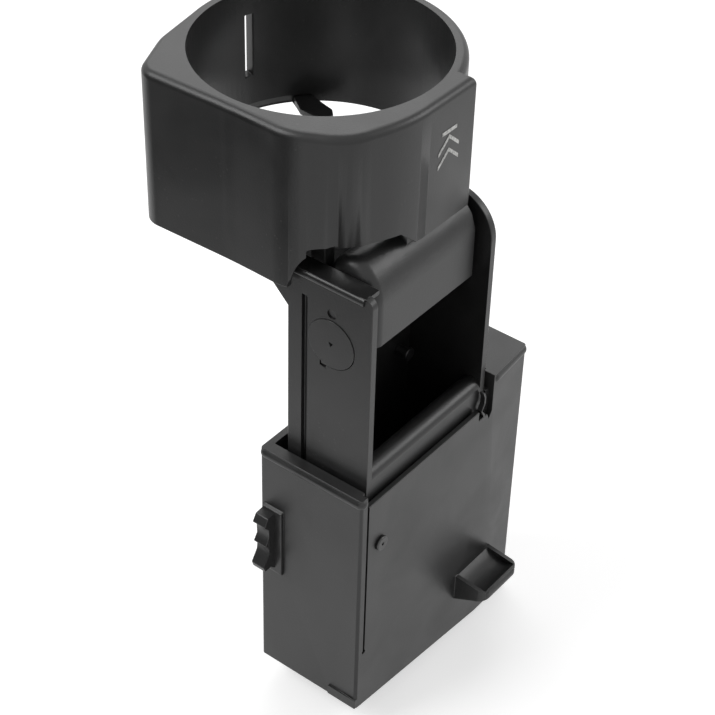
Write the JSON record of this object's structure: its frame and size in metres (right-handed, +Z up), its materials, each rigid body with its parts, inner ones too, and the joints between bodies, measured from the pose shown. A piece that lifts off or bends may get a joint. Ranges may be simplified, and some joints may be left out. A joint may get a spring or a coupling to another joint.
{
  "type": "car cup holder",
  "caption": "Pull-up car cup holder: a hinged round cup ring on a sprung carriage that slides up out of a flat clip-in housing.",
  "frame": {"origin": "on the housing's flat back, midway across its width, level with the underside of its left wall", "axes": "+Z up along the slide, +X along the hinge toward the closed block, -Y toward the front panel; the ring reaches over +Y when open"},
  "size_m": [0.0935, 0.1058, 0.2143],
  "materials": {
    "housing": "fine grained satin black moulding",
    "carriage": "satin black moulding",
    "ring": "fine grained satin black moulding",
    "damper": "smooth black moulding",
    "acetal": "natural white acetal",
    "steel": "zinc plated",
    "dark_metal": "black oxide",
    "spring_steel": "oiled spring wire",
    "rubber": "matt black rubber"
  },
  "bodies": {
    "housing": {"housing": "housing", "rear_cover": "housing", "cover_screws": "steel", "panel_rivet": "dark_metal", "eject_spring": "spring_steel", "spring_anchor": "steel", "slide_damper": "damper", "latch_pin": "steel", "guide_pin": "steel", "stop_buffers": "rubber"},
    "slide_pinion": {"slide_damper_pinion": "acetal"},
    "latch": {"latch_follower": "acetal"},
    "carriage": {"carriage": "carriage", "slide_rack": "acetal", "heart_cam": "acetal", "guide_shoe": "acetal", "ring_buffer": "rubber", "retaining_clip": "spring_steel", "ring_damper": "damper", "hinge_pin": "steel", "hinge_bush": "acetal", "hinge_spring": "spring_steel"},
    "ring_pinion": {"ring_damper_pinion": "acetal"},
    "ring": {"ring": "ring", "ring_gear": "acetal"}
  },
  "joints": [
    {"name": "carriage_slide", "type": "slide", "parent": "housing", "child": "carriage", "axis": [0, 0, 1], "range_m": [-0.052, 0], "deforming": ["eject_spring"]},
    {"name": "ring_hinge", "type": "hinge", "parent": "carriage", "child": "ring", "pos_m": [0, -0.0225, 0.1483], "axis": [1, 0, 0], "range_deg": [0, 90]},
    {"name": "slide_pinion_spin", "type": "hinge", "parent": "housing", "child": "slide_pinion", "pos_m": [0.029, -0.0302, 0.079], "axis": [0, 1, 0], "range_deg": [-500, 0]},
    {"name": "ring_pinion_spin", "type": "hinge", "parent": "carriage", "child": "ring_pinion", "pos_m": [-0.0353, -0.0225, 0.1377], "axis": [1, 0, 0], "range_deg": [-136, 0]},
    {"name": "latch_swing", "type": "hinge", "parent": "housing", "child": "latch", "pos_m": [-0.00822, -0.004, 0.012], "axis": [0, 1, 0], "range_deg": [-6, 6]}
  ],
  "couplings": [
    {"joint": "slide_pinion_spin", "follows": "carriage_slide", "rad_per_m": 166.67},
    {"joint": "ring_pinion_spin", "follows": "ring_hinge", "ratio": -1.5}
  ]
}
